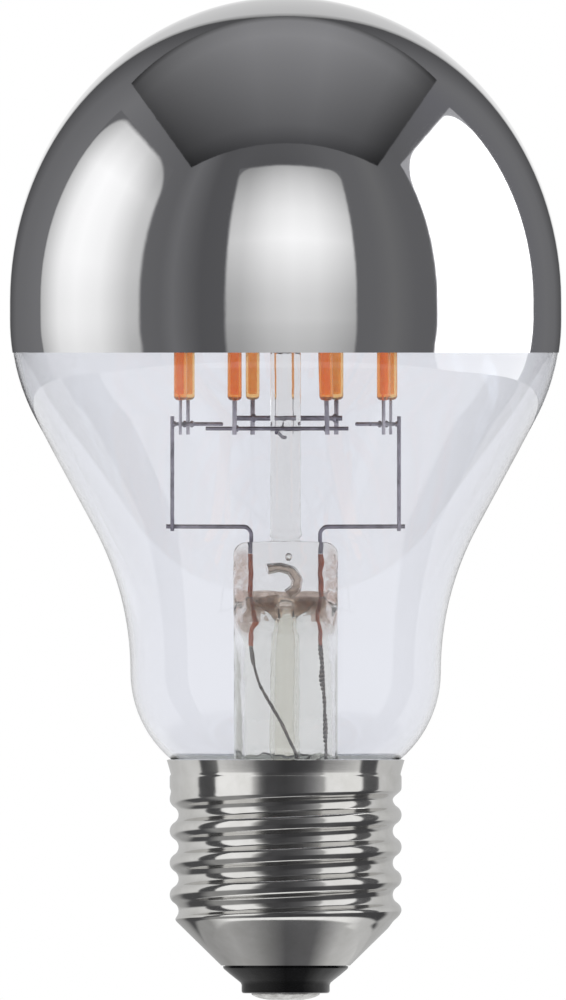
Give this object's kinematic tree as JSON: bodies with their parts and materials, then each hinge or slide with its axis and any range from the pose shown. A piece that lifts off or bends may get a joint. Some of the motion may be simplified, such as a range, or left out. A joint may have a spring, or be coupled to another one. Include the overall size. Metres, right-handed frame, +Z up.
{
  "type": "filament lamp",
  "caption": "Clear glass filament lamp with a silvered mirror crown, glass stem, ring of filaments and an E27 screw cap.",
  "frame": {"origin": "middle of the centre contact's flat face, at the lamp's lowest point", "axes": "+Z up the lamp's axis from the contact to the crown, -Y towards the viewer"},
  "size_m": [0.0628, 0.0628, 0.1137],
  "materials": {
    "clear_glass": "gloss",
    "silver_mirror": "gloss",
    "stem_glass": "gloss",
    "phosphor_coat": "satin",
    "tab_steel": "satin",
    "nickel_wire": "satin",
    "anchor_wire": "satin",
    "copper_clad_wire": "satin",
    "lead_wire": "satin",
    "nickel_plated_shell": "satin",
    "black_glass": "gloss",
    "contact_solder": "satin",
    "cement": "matte",
    "board_laminate": "matte",
    "black_epoxy": "matte",
    "capacitor_sleeve": "gloss",
    "resistor_lacquer": "satin"
  },
  "bodies": {
    "root": {"glass_envelope": "clear_glass", "mirror_crown": "silver_mirror", "stem_tube": "stem_glass", "exhaust_tube": "stem_glass", "support_rod": "stem_glass", "led_filament_1": "phosphor_coat", "led_filament_2": "phosphor_coat", "led_filament_3": "phosphor_coat", "led_filament_4": "phosphor_coat", "led_filament_5": "phosphor_coat", "led_filament_6": "phosphor_coat", "led_filament_7": "phosphor_coat", "led_filament_8": "phosphor_coat", "filament_tabs_1": "tab_steel", "filament_tabs_2": "tab_steel", "filament_tabs_3": "tab_steel", "filament_tabs_4": "tab_steel", "filament_tabs_5": "tab_steel", "filament_tabs_6": "tab_steel", "filament_tabs_7": "tab_steel", "filament_tabs_8": "tab_steel", "lower_link_front": "nickel_wire", "lower_link_back": "nickel_wire", "lower_link_left": "nickel_wire", "lower_link_right": "nickel_wire", "upper_link_1": "nickel_wire", "upper_link_2": "nickel_wire", "upper_link_3": "nickel_wire", "upper_link_4": "nickel_wire", "lower_anchor_front": "anchor_wire", "lower_anchor_back": "anchor_wire", "upper_anchor_1": "anchor_wire", "upper_anchor_2": "anchor_wire", "upper_anchor_3": "anchor_wire", "upper_anchor_4": "anchor_wire", "riser_left": "nickel_wire", "riser_right": "nickel_wire", "inner_lead_left": "nickel_wire", "inner_lead_right": "nickel_wire", "seal_wire_left": "copper_clad_wire", "seal_wire_right": "copper_clad_wire", "outer_lead_left": "lead_wire", "outer_lead_right": "lead_wire", "screw_shell": "nickel_plated_shell", "glass_insulator": "black_glass", "centre_contact": "contact_solder", "capping_cement": "cement", "driver_board": "board_laminate", "smoothing_capacitor": "capacitor_sleeve", "bridge_rectifier": "black_epoxy", "driver_chip": "black_epoxy", "board_resistors": "black_epoxy", "fuse_resistor": "resistor_lacquer", "contact_wire": "lead_wire", "shell_wire": "lead_wire"}
  },
  "joints": []
}
